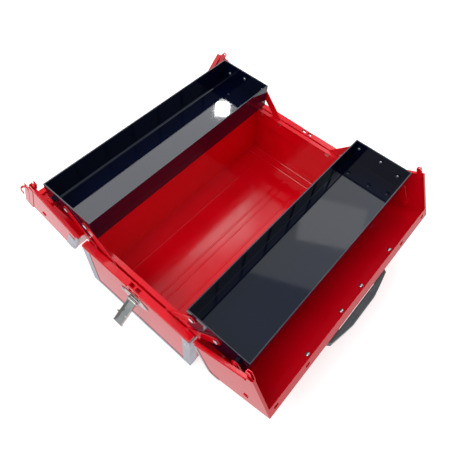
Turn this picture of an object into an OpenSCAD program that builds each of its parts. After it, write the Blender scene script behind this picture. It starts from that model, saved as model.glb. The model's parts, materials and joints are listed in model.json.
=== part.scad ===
// Cantilever tool box: a sheet-metal base, two trays that swing out on links, and two lids
// that meet over the middle. It is drawn open. X runs across the box, Y along it, Z up.
// The origin is at the middle of the underside of the base.

/* [Box] */
// Length of the base and the lids, along Y
box_l = 470; // [420:1:560]
// Width of the base, along X
box_w = 240; // [232:1:252]
// Height of the base up to its rim
base_h = 120; // [100:1:140]
// Thickness of the painted sheet
sheet = 1; // [0.8:0.1:1.2]
// Clearance between parts that move past each other
clearance = 0.4; // [0.3:0.05:0.5]
// Running clearance of a pin in its bore
pin_fit = 0.05; // [0.03:0.01:0.1]

/* [Base rim and floor] */
// Width of the flange along each end of the base
end_flange_w = 11.2; // [9:0.1:12]
// Depth of the lip turned down from the end flange
end_lip_h = 4; // [2:0.5:8]
// Height of the hem folded over inside each long wall
wall_hem_h = 5; // [3:0.5:8]
// Depth of the notch in the long walls where the middle links pass
notch_d = 6.5; // [6.5:0.1:9]
// Height of the ridges pressed into the floor
ridge_h = 0.8; // [0.4:0.1:2]
// Width of the ridges pressed into the floor
ridge_w = 4; // [3:0.5:6]
// Distance of the floor's cross ridges from the far end wall
ridge_end_gap = 9; // [6:0.5:20]
// Place of the first long ridge across the floor
ridge_x1 = -82; // [-90:1:-70]
// Place of the second long ridge across the floor
ridge_x2 = -7; // [-14:0.5:-5]
// Place of the third long ridge across the floor
ridge_x3 = 6.5; // [5:0.5:14]
// Place of the fourth long ridge across the floor
ridge_x4 = 37; // [25:1:50]

/* [Link rails] */
// Height of the upright web of a rail
rail_h = 35; // [25:1:60]
// Width of the flange along the top of a rail
rail_flange_w = 8.2; // [5:0.1:12]

/* [Trays] */
// Distance of a tray's end from the end of the box
tray_end_gap = 15; // [15:0.5:30]
// Gap between the side wall of a shut lid and the shut tray's side wall
tray_side_gap = 4.6; // [4.4:0.1:16]
// Depth of a tray
tray_d = 50; // [40:0.5:50]
// Height of the rim of an open tray above the rim of the base
tray_rim_up = 62.3; // [60:0.1:70]
// Reach of an open tray's inner side in over the base's side wall
tray_over = 18.2; // [14:0.1:22]
// Distance of a closed tray from the middle plane
tray_shut_x = 0.4; // [0.3:0.1:0.6]
// Radius of the lower long edges of a tray
tray_round = 7; // [6.5:0.5:10]
// Width of the rolled rim of a tray
tray_rim_w = 2; // [1.5:0.1:3]
// Height of the rolled rim of a tray
tray_rim_h = 3; // [2:0.5:5]
// Number of divider slots along each long wall
divider_count = 6; // [2:1:9]
// Width of a divider slot
divider_gap = 2; // [1.5:0.1:3]
// Width and height of the beads beside a divider slot
divider_bead = 1.2; // [0.8:0.1:2]

/* [Links] */
// Distance between the two pivots of a link
link_l = 78; // [77.5:0.1:79]
// Slope of the open links
link_slope = 46.5; // [46:0.1:47.5]
// Width of a link
link_w = 14; // [11:0.5:14]
// Thickness of a link
link_t = 2; // [1.5:0.1:2.2]
// Distance of the inner pivot from the inner side of the tray
inner_pivot_x = 10.7; // [9:0.1:14]
// Distance of the middle pivot from the inner side of the tray
middle_pivot_x = 56.2; // [50:0.1:60]
// Depth of both link pivots below the tray's rim
link_pivot_d = 15.3; // [12:0.1:18]
// Distance of the drive link's pivot from the inner side of the tray
drive_pivot_x = 94.2; // [88:0.1:98]
// Depth of the drive link's pivot below the tray's rim
drive_pivot_d = 23.3; // [20:0.1:28]
// Distance of the drive link's upper pivot from the side wall of the lid
drive_lid_x = 80; // [76:0.1:84]
// Distance of the drive link's upper pivot from the rim of the lid
drive_lid_z = 67; // [62:0.1:72]
// Radius of the pivot rivets
pivot_r = 2.5; // [2:0.1:3]
// Radius of the pivot rivets' heads
pivot_head_r = 4.5; // [4:0.1:5]
// Thickness of the pivot rivets' heads
pivot_head_t = 1.2; // [0.8:0.1:1.2]

/* [Lids] */
// Distance of a shut lid's side wall inside the base's side wall
lid_side_in = 3; // [1:0.1:3.2]
// Height of the lid's side wall
lid_wall_h = 79; // [76:0.5:90]
// Height of the lid at the seam in the middle
lid_seam_h = 93; // [90:0.5:105]
// Radius of the lid's upper corner
lid_round = 14.5; // [8:0.5:16]
// Turn of the open right lid
right_lid_turn = 153; // [150:1:156]
// Turn of the open left lid
left_lid_turn = 156; // [150:1:157]
// Height of the hem inside the lid's side wall, at the rim
lid_hem_h = 7; // [4:0.5:10]
// Width of the flange along the rim at each end of a lid
lid_flange_w = 5; // [4:0.1:6]
// Depth of the flange under the roof at the right lid's seam
seam_flange_d = 17; // [10:0.5:24]
// Width of the flange down each end at a lid's seam
seam_flange_w = 5; // [3:0.5:10]
// Depth of the flange under the roof at the left lid's seam
left_flange_d = 6; // [4:0.5:14]
// Depth of the notch in the lid's side wall where the middle links pass
lid_notch_d = 6; // [5.5:0.1:9]
// Distance of the outer holes in the seam flange from the lid's ends
flange_hole_out = 18; // [13:1:40]
// Distance of the inner holes in the seam flange from the lid's ends
flange_hole_in = 94; // [70:1:110]
// Height of the holes in the seam flange
flange_hole_h = 5; // [3:0.5:7]
// Length of the holes in the seam flange
flange_hole_l = 10; // [6:0.5:16]

/* [Seam lip] */
// Width of the lip welded to the left lid
lip_weld_w = 10; // [6:0.5:14]
// Reach of the lip past the seam, on the ends
lip_end_reach = 9; // [6:0.5:9.5]
// Reach of the lip past the seam, on the roof
lip_roof_reach = 9; // [6:0.5:9.5]
// Thickness of the lip
lip_t = 1; // [0.8:0.1:1.2]
// Distance of the lip's lower end from the lid's rim
lip_from_rim = 10; // [6:0.5:20]

/* [Catch tabs] */
// Width of a catch tab
tab_w = 7.6; // [6.4:0.1:8]
// Distance of a catch tab's middle from the seam
tab_x = 7.2; // [6.5:0.1:8]
// Reach of a catch tab past the lid's rim
tab_reach = 13; // [12:0.1:14]
// Thickness of a catch tab's sheet
tab_t = 1.2; // [1:0.1:1.4]
// Depth of a catch tab, along Y
tab_d = 5.4; // [4.5:0.1:5.6]
// Distance of a catch tab's outer face inside the lid's end
tab_in = 2.5; // [2.2:0.1:3]
// Clearance of a catch tab in its slot on the side of the seam, to which its tip swings
tab_slot_gap = 1.4; // [1.3:0.1:1.6]
// Distance of the hole in a catch tab above its tip
tab_hole_up = 2; // [1.8:0.1:2.2]
// Height of the hole in a catch tab
tab_hole_h = 4.8; // [4.6:0.1:5]
// Length of the hole in a catch tab
tab_hole_w = 5.4; // [5:0.1:5.6]
// Reach of a claw window below the tab's hole
window_below = 5; // [4.8:0.1:5.5]
// Reach of a claw window above the lower edge of the tab's hole
window_above = 5.5; // [5.3:0.1:5.8]

/* [Hinges] */
// Distance of the hinge axis outside the wall
hinge_out = 2.8; // [2.7:0.1:3.5]
// Height of the hinge axis above the rim of the base
hinge_up = 3.7; // [3.6:0.1:4.5]
// Outer radius of the hinge knuckles
knuckle_r = 2.6; // [2.2:0.1:2.7]
// Radius of the hinge pin
hinge_pin_r = 1.2; // [0.9:0.1:1.3]
// Number of knuckles along a hinge
knuckle_count = 21; // [11:2:31]
// Distance of a hinge's end from the end of the box
hinge_end_gap = 25; // [22.5:0.5:40]
// Height of the leaf on the base
base_leaf_h = 15; // [10:0.5:20]
// Height of the leaf on the lid
lid_leaf_h = 14; // [10:0.5:20]
// Thickness of the leaves
leaf_t = 1; // [0.8:0.1:1]
// Gap between two knuckles
knuckle_gap = 0.6; // [0.4:0.1:1]

/* [Corner guards] */
// Width of a guard's wide legs
guard_wide = 15; // [10:0.5:20]
// Width of a lid guard's narrow leg on the lid's wall
guard_narrow = 5; // [4:0.5:8]
// Thickness of the guards
guard_t = 0.8; // [0.6:0.1:1]
// Height of the strip along the foot of each end wall
trim_h = 9; // [6:0.5:14]
// Width of a lid guard's wide leg on the lid's end
lid_guard_w = 20; // [16:0.5:26]
// Distance of a lid guard's wide part from the lid's rim
lid_guard_from = 24; // [20:0.5:40]
// Width of the strip that runs down from a lid guard to the rim
lid_guard_strip = 4; // [3:0.5:8]
// Radius of the small rivets' heads
rivet_r = 2.4; // [2:0.1:3]
// Thickness of the small rivets' heads
rivet_t = 1; // [0.6:0.1:1.4]
// Height of a base guard's lower rivet above the underside
guard_rivet_low = 13.5; // [6:0.5:30]
// Distance of a base guard's upper rivet below the guard's top
guard_rivet_top = 18; // [6:0.5:30]

/* [Handle] */
// Distance between the middles of the handle's legs
handle_span = 154; // [140:1:170]
// Length of a handle leg, along Y
handle_leg_l = 26; // [22:0.5:30]
// Thickness of the handle, across
handle_t = 14; // [12:0.5:14]
// Height of the handle above its pivot
handle_rise = 26; // [24:0.5:30]
// Fall of the grip's back from its middle to the legs
handle_fall = 9; // [4:0.5:11]
// Swing of the drawn handle towards the seam, from square to the roof
handle_turn = 65; // [0:1:75]
// Thickness of the grip, up and down
handle_grip_h = 13; // [10:0.5:14]
// Height of the pivot above the roof
handle_pivot_up = 9.5; // [9.2:0.1:12]
// Distance of the pivot from the seam
handle_pivot_x = 17.5; // [17.5:0.1:22]
// Radius of the handle's pins
handle_pin_r = 2.5; // [2:0.1:3]
// Length of a handle bracket
bracket_l = 115; // [105:1:125]
// Width of a handle bracket
bracket_w = 14; // [13.5:0.1:14]
// Thickness of a handle bracket
bracket_t = 1.5; // [1.2:0.1:1.6]
// Distance of a screw from the middle of its bracket
screw_y = 47; // [40:0.5:52]
// Thickness of a bracket's lugs
lug_t = 2; // [1.5:0.1:2.5]
// Radius of a screw's head
screw_r = 4; // [3:0.1:4.5]
// Thickness of a screw's head
screw_h = 2.2; // [1.5:0.1:3]

/* [Latches] */
// Distance of the latch's hinge below the rim of the base
latch_down = 32; // [31:0.5:33]
// Distance of the latch's hinge outside the end wall
latch_out = 5.5; // [5.4:0.1:6.5]
// Half of the width of the latch plate
plate_half = 30.5; // [24:0.5:40]
// Reach of the latch plate below the latch's hinge
plate_below = 8; // [6:0.5:12]
// Reach of the latch plate above the latch's hinge
plate_above = 13; // [8:0.5:14]
// Length of the latch plate's pointed ends
plate_point = 13; // [8:0.5:14]
// Height of the blunt tip of a pointed end
plate_tip = 6; // [5:0.5:10]
// Thickness of the latch plate
plate_t = 1.2; // [1:0.1:1.5]
// Distance of a latch plate's rivet from its end
plate_rivet_in = 5; // [4:0.5:8]
// Width of the latch lever
lever_w = 17.2; // [16.8:0.1:18]
// Length of the latch lever from its hinge
lever_l = 44.5; // [40:0.5:46]
// Thickness of the lever's sheet
lever_t = 1.2; // [1:0.1:1.3]
// Radius of the lever's roll
roll_r = 3.5; // [3:0.1:3.5]
// Radius of the latch pin
latch_pin_r = 1.5; // [1.2:0.1:1.6]
// Turn of the lever from the closed to the open place
lever_turn = 124; // [118:1:130]
// Reach of the lever's claws from its hinge
claw_r = 26; // [25.8:0.1:26.2]
// Thickness of the claws
claw_t = 2; // [1.5:0.1:2.2]

/* [Hidden] */

$fn = 48;
RIGHT = 1;
LEFT = -1;
NEAR = -1;
FAR = 1;
over = 1; // how far a cutter runs past the face that it cuts
half_w = box_w / 2;
half_l = box_l / 2;
lid_w = half_w - lid_side_in;
tray_w = lid_w - tray_shut_x - tray_side_gap;
tray_l = box_l - 2 * tray_end_gap;
tray_open_x = half_w - tray_over;
tray_rim_z = base_h + tray_rim_up;
hinge_l = box_l - 2 * hinge_end_gap;
flange_hole_y = [half_l - flange_hole_out, half_l - flange_hole_in];

RED = [0.82, 0.07, 0.06];
BLACK = [0.05, 0.05, 0.07];
STEEL = [0.78, 0.79, 0.80];
NICKEL = [0.70, 0.69, 0.66];

// Hinge axis of the right lid; the left one is its mirror image
hinge_x = half_w + hinge_out;
hinge_z = base_h + hinge_up;

// Link pivots of the open right tray and on the rail
link_z = tray_rim_z - link_pivot_d;
upper_x = [tray_open_x + inner_pivot_x, tray_open_x + middle_pivot_x];
link_run = link_l * cos(link_slope);
link_rise = link_l * sin(link_slope);
lower_z = link_z - link_rise;
drive_x = tray_open_x + drive_pivot_x;
drive_z = tray_rim_z - drive_pivot_d;

// Layers outward along Y from the end of a tray
tray_end = tray_l / 2;
link_y0 = tray_end + clearance;
link_y1 = link_y0 + link_t;
head_y1 = link_y1 + pin_fit + pivot_head_t;
drive_y0 = head_y1 + clearance + clearance;
drive_y1 = drive_y0 + link_t;

// Lid profile, drawn closed
lid_z0 = base_h + clearance;
lid_seam_x = clearance / 2;
roof_fall = (lid_seam_h - lid_wall_h) / lid_w;
roof_tilt = atan(roof_fall);
function roof_z(x) = lid_z0 + lid_seam_h - roof_fall * x;

// Drive link's upper pivot on the closed lid, and the same point on the open lid
drive_shut = [lid_w - drive_lid_x, lid_z0 + drive_lid_z];
function turned(point, angle) =
    let (dx = point[0] - hinge_x, dz = point[1] - hinge_z)
    [hinge_x + dx * cos(angle) + dz * sin(angle), hinge_z - dx * sin(angle) + dz * cos(angle)];

// Catch tabs and their slots
tab_y1 = half_l - tab_in;
tab_y0 = tab_y1 - tab_d;
tab_tip = lid_z0 - tab_reach;
tab_hole_z = tab_tip + tab_hole_up;
window_z0 = tab_hole_z - window_below;
window_z1 = tab_hole_z + window_above;

// Handle
pivot_roof_z = roof_z(handle_pivot_x);
handle_z = pivot_roof_z + handle_pivot_up;
leg_r = handle_t / 2;
bracket_x0 = handle_pivot_x - bracket_w / 2;
screw_x = bracket_x0 + screw_r;
lug_y = handle_leg_l / 2 + clearance;

// Latches
latch_y = half_l + latch_out;
latch_z = base_h - latch_down;
plate_z0 = latch_z - plate_below;
plate_z1 = latch_z + plate_above;
plate_rivet_x = plate_half - plate_rivet_in;

module at_side(side) {
    if (side == RIGHT) children();
    else mirror([1, 0, 0]) children();
}

module at_end(end) {
    if (end == FAR) children();
    else mirror([0, 1, 0]) children();
}

module opened(side) {
    turn = side == RIGHT ? right_lid_turn : left_lid_turn;
    at_side(side) translate([hinge_x, 0, hinge_z]) rotate([0, turn, 0])
        translate([-hinge_x, 0, -hinge_z]) children();
}

// A cylinder along Y from y0 to y1, at x and z
module rod_y(x, z, y0, y1, r) {
    translate([x, y1, z]) rotate([90, 0, 0]) cylinder(r = r, h = y1 - y0);
}

// A box from its two corners
module block(a, b) {
    translate(a) cube([b[0] - a[0], b[1] - a[1], b[2] - a[2]]);
}

// An XZ outline extruded along Y from y0 to y1
module sweep_y(y0, y1) {
    translate([0, y1, 0]) rotate([90, 0, 0]) linear_extrude(height = y1 - y0) children();
}

// ---- Base ----

module floor_ridge(x, y0, y1) {
    sweep_y(y0, y1) translate([x, sheet])
        polygon([[-ridge_w / 2, 0], [-ridge_w / 4, ridge_h], [ridge_w / 4, ridge_h], [ridge_w / 2, 0]]);
}

module cross_ridge(y) {
    translate([0, y, 0]) rotate([0, 0, 90]) floor_ridge(0, -half_w + 3 * sheet, half_w - 3 * sheet);
}

module end_flange() {
    block([-half_w + sheet, half_l - end_flange_w, base_h - sheet], [half_w - sheet, half_l - sheet, base_h]);
    block([-half_w + sheet, half_l - end_flange_w, base_h - end_lip_h],
        [half_w - sheet, half_l - end_flange_w + sheet, base_h]);
}

module tab_slots() {
    for (side = [RIGHT, LEFT]) at_side(side)
        block([tab_x - tab_w / 2 - tab_slot_gap, tab_y0 - clearance, base_h - sheet - over],
            [tab_x + tab_w / 2 + clearance, tab_y1 + clearance, base_h + over]);
}

module claw_windows() {
    for (x = [-tab_x, tab_x])
        block([x - tab_w / 2, half_l - sheet - over, window_z0], [x + tab_w / 2, half_l + over, window_z1]);
}

module base_shell() {
    color(RED) difference() {
        union() {
            difference() {
                block([-half_w, -half_l, 0], [half_w, half_l, base_h]);
                block([-half_w + sheet, -half_l + sheet, sheet],
                    [half_w - sheet, half_l - sheet, base_h + over]);
            }
            for (end = [NEAR, FAR]) at_end(end) end_flange();
            for (side = [RIGHT, LEFT]) at_side(side)
                block([half_w - 2 * sheet, -half_l + end_flange_w, base_h - wall_hem_h],
                    [half_w - sheet, half_l - end_flange_w, base_h]);
            for (x = [ridge_x1, ridge_x2, ridge_x3, ridge_x4])
                floor_ridge(x, -half_l + 3 * end_flange_w, half_l - 4 * end_flange_w);
            for (step = [0, 1]) cross_ridge(half_l - ridge_end_gap - step * 2 * ridge_end_gap);
        }
        for (end = [NEAR, FAR]) at_end(end) {
            tab_slots();
            claw_windows();
            for (side = [RIGHT, LEFT]) at_side(side)
                block([half_w - 2 * sheet - over, tray_end - clearance, base_h - notch_d],
                    [half_w + over, head_y1 + clearance, base_h + over]);
        }
    }
}

// ---- Link rails ----

module link_rail(end) {
    color(RED) at_end(end) difference() {
        union() {
            block([-half_w + sheet, tray_end - sheet, base_h - rail_h], [half_w - sheet, tray_end, base_h]);
            block([-half_w + 2 * sheet + clearance, tray_end - rail_flange_w, base_h - sheet],
                [half_w - 2 * sheet - clearance, tray_end, base_h]);
        }
        for (side = [RIGHT, LEFT]) at_side(side) {
            for (x = upper_x)
                rod_y(x - link_run, lower_z, tray_end - sheet - over, tray_end + over, pivot_r + pin_fit);
            block([half_w - 2 * sheet - clearance, tray_end - sheet - over, base_h - notch_d],
                [half_w, tray_end + over, base_h + over]);
        }
    }
}

// A pivot rivet along Y: a head at y0, a shank, and a head that ends at y1
module pivot_rivet(x, z, y0, y1) {
    rod_y(x, z, y0 - pivot_head_t, y0, pivot_head_r);
    rod_y(x, z, y0 - over / 2, y1 + over / 2, pivot_r);
    rod_y(x, z, y1, y1 + pivot_head_t, pivot_head_r);
}

module base_pivots() {
    color(STEEL) for (end = [NEAR, FAR], side = [RIGHT, LEFT], x = upper_x)
        at_end(end) at_side(side) pivot_rivet(x - link_run, lower_z, tray_end - sheet, link_y1 + pin_fit);
}

// ---- Corner guards, trim and rivets of the base ----

guard_h = base_h - notch_d - clearance;
guard_rivet_z = [guard_rivet_low, guard_h - guard_rivet_top];

// The right near corner: one leg lies on the end wall, the other on the long wall
module guard() {
    block([-guard_wide, -guard_t, 0], [guard_t, 0, guard_h]);
    block([0, -guard_t, 0], [guard_t, guard_wide, guard_h]);
}

module base_corner(index) {
    corner = [[half_w, -half_l], [half_w, half_l], [-half_w, half_l], [-half_w, -half_l]][index];
    translate(corner) rotate([0, 0, 90 * index]) children();
}

module base_guard(index) {
    color(STEEL) base_corner(index) guard();
}

module base_trim(end) {
    color(STEEL) rotate([0, 0, end == NEAR ? 0 : 180])
        block([-half_w + guard_wide, -half_l - guard_t, 0], [half_w - guard_wide, -half_l, trim_h]);
}

module base_rivets() {
    color(STEEL) {
        for (index = [0:3], z = guard_rivet_z)
            base_corner(index) rod_y(-guard_wide / 2, z, -guard_t - rivet_t, -guard_t, rivet_r);
        for (end = [NEAR, FAR], x = [-plate_rivet_x, plate_rivet_x])
            at_end(end) rod_y(x, (plate_z0 + plate_z1) / 2, half_l + plate_t,
                half_l + plate_t + rivet_t, rivet_r);
    }
}

// ---- Hinges ----

pitch = hinge_l / knuckle_count;
function knuckle_y0(index) = -hinge_l / 2 + index * pitch + knuckle_gap / 2;
function knuckle_y1(index) = -hinge_l / 2 + (index + 1) * pitch - knuckle_gap / 2;

// Every second knuckle from the first one on, each with an arm from x0 between z0 and z1
module knuckles(first, x0, z0, z1) {
    for (index = [first:2:knuckle_count - 1]) {
        rod_y(hinge_x, hinge_z, knuckle_y0(index), knuckle_y1(index), knuckle_r);
        block([x0, knuckle_y0(index), z0], [hinge_x, knuckle_y1(index), z1]);
    }
}

module pin_bore() {
    rod_y(hinge_x, hinge_z, -hinge_l / 2 - over, hinge_l / 2 + over, hinge_pin_r + pin_fit);
}

module base_leaf_body(side) {
    arm_z = hinge_z - knuckle_r;
    at_side(side) difference() {
        union() {
            block([half_w, -hinge_l / 2, base_h - base_leaf_h], [half_w + leaf_t, hinge_l / 2, base_h]);
            knuckles(0, half_w, arm_z, arm_z + leaf_t);
            for (index = [0:2:knuckle_count - 1])
                block([half_w, knuckle_y0(index), base_h - leaf_t],
                    [half_w + leaf_t, knuckle_y1(index), arm_z + leaf_t]);
        }
        pin_bore();
    }
}

module lid_leaf_body(side) {
    top = hinge_z + knuckle_r;
    opened(side) difference() {
        union() {
            block([lid_w, -hinge_l / 2, top - leaf_t],
                [lid_w + leaf_t, hinge_l / 2, top - leaf_t + lid_leaf_h]);
            knuckles(1, lid_w, top - leaf_t, top);
        }
        pin_bore();
    }
}

module hinge_base_leaf_right() { color(STEEL) base_leaf_body(RIGHT); }
module hinge_base_leaf_left() { color(STEEL) base_leaf_body(LEFT); }
module hinge_lid_leaf_right() { color(STEEL) lid_leaf_body(RIGHT); }
module hinge_lid_leaf_left() { color(STEEL) lid_leaf_body(LEFT); }

module hinge_pin(side) {
    color(STEEL) at_side(side) rod_y(hinge_x, hinge_z, -hinge_l / 2, hinge_l / 2, hinge_pin_r);
}

// ---- Trays ----

// Cross-section of a tray up to top, shrunk by inset
module tray_outline(inset, top) {
    r = tray_round - inset;
    x0 = inset;
    x1 = tray_w - inset;
    z0 = -tray_d + inset;
    polygon([[x0, top], [x0, z0 + r], [x0 + r, z0], [x1 - r, z0], [x1, z0 + r], [x1, top]]);
    for (x = [x0 + r, x1 - r]) translate([x, z0 + r]) circle(r = r);
}

module tray_dividers() {
    step = tray_l / (divider_count + 1);
    for (index = [1:divider_count], offset = [-1, 1], x = [sheet, tray_w - sheet - divider_bead])
        translate([x, -tray_end + index * step + offset * (divider_gap + divider_bead) / 2 - divider_bead / 2,
            -tray_d + tray_round])
            cube([divider_bead, divider_bead, tray_d - tray_round - tray_rim_h]);
}

module tray(side) {
    color(BLACK) at_side(side) translate([tray_open_x, 0, tray_rim_z]) difference() {
        union() {
            difference() {
                sweep_y(-tray_end, tray_end) tray_outline(0, 0);
                sweep_y(-tray_end + sheet, tray_end - sheet) tray_outline(sheet, over);
            }
            difference() {
                block([0, -tray_end, -tray_rim_h], [tray_w, tray_end, 0]);
                block([tray_rim_w, -tray_end + tray_rim_w, -tray_rim_h - over],
                    [tray_w - tray_rim_w, tray_end - tray_rim_w, over]);
            }
            tray_dividers();
        }
        for (end = [NEAR, FAR]) at_end(end) {
            for (x = [inner_pivot_x, middle_pivot_x])
                rod_y(x, -link_pivot_d, tray_end - sheet - over, tray_end + over, pivot_r + pin_fit);
            rod_y(drive_pivot_x, -drive_pivot_d, tray_end - sheet - over, tray_end + over, pivot_r + pin_fit);
        }
    }
}

module tray_pivots(side) {
    color(STEEL) for (end = [NEAR, FAR]) at_side(side) at_end(end) {
        for (x = upper_x) pivot_rivet(x, link_z, tray_end - sheet, link_y1 + pin_fit);
        rod_y(drive_x, drive_z, tray_end - sheet - pivot_head_t, tray_end - sheet, pivot_head_r);
        rod_y(drive_x, drive_z, tray_end - sheet - over / 2, tray_end + over / 2, pivot_r);
        rod_y(drive_x, drive_z, tray_end, drive_y0 - clearance, pivot_head_r);
    }
}

// ---- Links ----

// A flat bar with round ends between two pivots, each an [x, z]
module bar(a, b, y0, y1) {
    run = b - a;
    slope = atan2(run[1], run[0]);
    reach = norm(run);
    sweep_y(y0, y1) translate(a) rotate(slope) difference() {
        union() {
            circle(r = link_w / 2);
            translate([reach, 0]) rotate(180) circle(r = link_w / 2);
            translate([0, -link_w / 2]) square([reach, link_w]);
        }
        for (x = [0, reach]) translate([x, 0]) circle(r = pivot_r + pin_fit);
    }
}

module tray_link(index, side, end) {
    color(RED) at_side(side) at_end(end)
        bar([upper_x[index] - link_run, lower_z], [upper_x[index], link_z], link_y0, link_y1);
}

function drive_top(side) = turned(drive_shut, side == RIGHT ? right_lid_turn : left_lid_turn);

module drive_link(side, end) {
    color(RED) at_side(side) at_end(end) bar([drive_x, drive_z], drive_top(side), drive_y0, drive_y1);
}

// The rivet at the link's lower end: its head and its shank, up to the boss on the tray
module drive_rivets(side) {
    color(STEEL) for (end = [NEAR, FAR]) at_side(side) at_end(end) {
        rod_y(drive_x, drive_z, drive_y0, drive_y1 + over / 2, pivot_r);
        rod_y(drive_x, drive_z, drive_y1, drive_y1 + pivot_head_t, pivot_head_r);
    }
}

// The rivet through the lid's end, with the sleeve that holds the link off the lid
module drive_pivots(side) {
    top = drive_top(side);
    color(STEEL) for (end = [NEAR, FAR]) at_side(side) at_end(end) {
        rod_y(top[0], top[1], drive_y0 - pin_fit - pivot_head_t, drive_y0 - pin_fit, pivot_head_r);
        rod_y(top[0], top[1], drive_y0 - pin_fit - over / 2, half_l + over / 2, pivot_r);
        rod_y(top[0], top[1], drive_y1 + pin_fit, half_l - sheet, pivot_head_r);
        rod_y(top[0], top[1], half_l, half_l + pivot_head_t, pivot_head_r);
    }
}

// ---- Lids ----

// Cross-section of a closed right lid, shrunk by inset, from x0 at the seam and z0 at the rim
module lid_outline(inset, x0, z0) {
    r = lid_round - inset;
    cx = lid_w - lid_round;
    cz = roof_z(cx) - lid_round / cos(roof_tilt);
    drop = inset / cos(roof_tilt);
    polygon([[x0, z0], [lid_w - inset, z0], [lid_w - inset, cz],
        [cx + r * sin(roof_tilt), cz + r * cos(roof_tilt)], [x0, roof_z(x0) - drop]]);
    translate([cx, cz]) circle(r = r);
}

module flange_hole(y) {
    z = roof_z(0) - seam_flange_d / 2;
    half = (flange_hole_l - flange_hole_h) / 2;
    for (offset = [-half, half])
        translate([-over, y + offset, z]) rotate([0, 90, 0])
            cylinder(r = flange_hole_h / 2, h = 3 * over + sheet);
    block([-over, y - half, z - flange_hole_h / 2], [2 * over + sheet, y + half, z + flange_hole_h / 2]);
}

module lid_body(flange_d) {
    difference() {
        union() {
            difference() {
                sweep_y(-half_l, half_l) lid_outline(0, lid_seam_x, lid_z0);
                sweep_y(-half_l + sheet, half_l - sheet)
                    lid_outline(sheet, lid_seam_x + sheet, lid_z0 - over);
            }
            for (end = [NEAR, FAR]) at_end(end)
                block([tab_x + tab_w / 2 + clearance, half_l - lid_flange_w, lid_z0],
                    [lid_w - sheet, half_l - sheet, lid_z0 + sheet]);
            block([lid_w - 2 * sheet, -half_l + sheet, lid_z0],
                [lid_w - sheet, half_l - sheet, lid_z0 + lid_hem_h]);
        }
        // the open side at the seam, inside its flanges
        block([lid_seam_x - over, -half_l + seam_flange_w, lid_z0 - over],
            [lid_seam_x + sheet + over / 10, half_l - seam_flange_w, roof_z(0) - flange_d]);
        // bores for the drive links' rivets, and notches for the middle links
        for (end = [NEAR, FAR]) at_end(end) {
            rod_y(drive_shut[0], drive_shut[1], half_l - sheet - over, half_l + over, pivot_r + pin_fit);
            block([lid_w - 2 * sheet - over, tray_end - clearance, lid_z0 - over],
                [lid_w + over, head_y1 + clearance, lid_z0 + lid_notch_d]);
        }
    }
}

module lid_right() {
    color(RED) opened(RIGHT) difference() {
        lid_body(seam_flange_d);
        for (end = [NEAR, FAR], y = flange_hole_y) flange_hole(end * y);
    }
}

module lid_left() {
    color(RED) opened(LEFT) lid_body(left_flange_d);
}

// The lip welded round the left lid's seam: it laps over the ends and the roof of the right lid
module seam_lip() {
    foot = lid_z0 + lip_from_rim;
    roof = roof_z(0);
    color(RED) opened(LEFT) {
        for (end = [NEAR, FAR]) at_end(end) {
            block([lid_seam_x, half_l, foot], [lip_weld_w, half_l + lip_t, roof]);
            block([-lip_end_reach, half_l + clearance, foot], [lid_seam_x + lip_t, half_l + clearance + lip_t,
                roof + clearance + lip_t]);
            block([-lip_roof_reach, half_l - over, roof + clearance], [lip_weld_w, half_l + clearance + lip_t,
                roof + clearance + lip_t]);
        }
        block([-lip_roof_reach, -half_l, roof + clearance],
            [lid_seam_x + lip_t, half_l, roof + clearance + lip_t]);
        sweep_y(-half_l, half_l)
            polygon([[lid_seam_x, roof_z(lid_seam_x)], [lip_weld_w, roof_z(lip_weld_w)],
                [lip_weld_w, roof + clearance + lip_t], [lid_seam_x, roof + clearance + lip_t]]);
    }
}

// A U of sheet that hangs from the lid's rim, with a hole for the latch's claw
module catch_tabs(side) {
    color(RED) opened(side) for (end = [NEAR, FAR]) at_end(end) difference() {
        union() {
            for (y = [tab_y0, tab_y1 - tab_t])
                block([tab_x - tab_w / 2, y, tab_tip], [tab_x + tab_w / 2, y + tab_t, lid_z0 + lid_hem_h]);
            block([tab_x + tab_w / 2 - tab_t, tab_y0, tab_tip],
                [tab_x + tab_w / 2, tab_y1, lid_z0 + lid_hem_h]);
            block([tab_x - tab_w / 2, tab_y0, lid_z0 + lid_hem_h - tab_t],
                [tab_x + tab_w / 2, half_l - sheet, lid_z0 + lid_hem_h]);
        }
        block([tab_x - tab_hole_w / 2, tab_y1 - tab_t - over, tab_hole_z],
            [tab_x + tab_hole_w / 2, tab_y1 + over, tab_hole_z + tab_hole_h]);
    }
}

// The band of a guard that wraps the lid's outline between two distances from its surface
module guard_band(outer, inner) {
    difference() {
        lid_outline(-outer, lid_seam_x, lid_z0);
        lid_outline(inner, lid_seam_x, lid_z0 - over);
    }
}

// A guard over the lid's rounded corner: one leg on the end, the other on the wall and the roof.
// The four are one part, so its wide leg lies on the end at two corners and on the wall at the others
module lid_guard(side, end) {
    wide = side == end;
    x1 = lid_w - lid_guard_w;
    z1 = lid_z0 + lid_guard_from;
    foot = wide ? lid_z0 : lid_z0 + lid_notch_d + clearance;
    band_w = wide ? guard_narrow : guard_wide;
    color(STEEL) opened(side) at_end(end) {
        sweep_y(half_l, half_l + guard_t) intersection() {
            if (wide) lid_outline(-guard_t, lid_seam_x, lid_z0);
            else guard_band(guard_t, lid_guard_strip);
            union() {
                translate([x1, z1]) square([lid_guard_w + over, lid_seam_h]);
                translate([lid_w - lid_guard_strip, foot]) square([lid_guard_strip + over, lid_seam_h]);
            }
        }
        sweep_y(half_l - band_w, half_l) intersection() {
            guard_band(guard_t, 0);
            translate([x1, foot]) square([lid_guard_w + over, lid_seam_h]);
        }
    }
}

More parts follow.
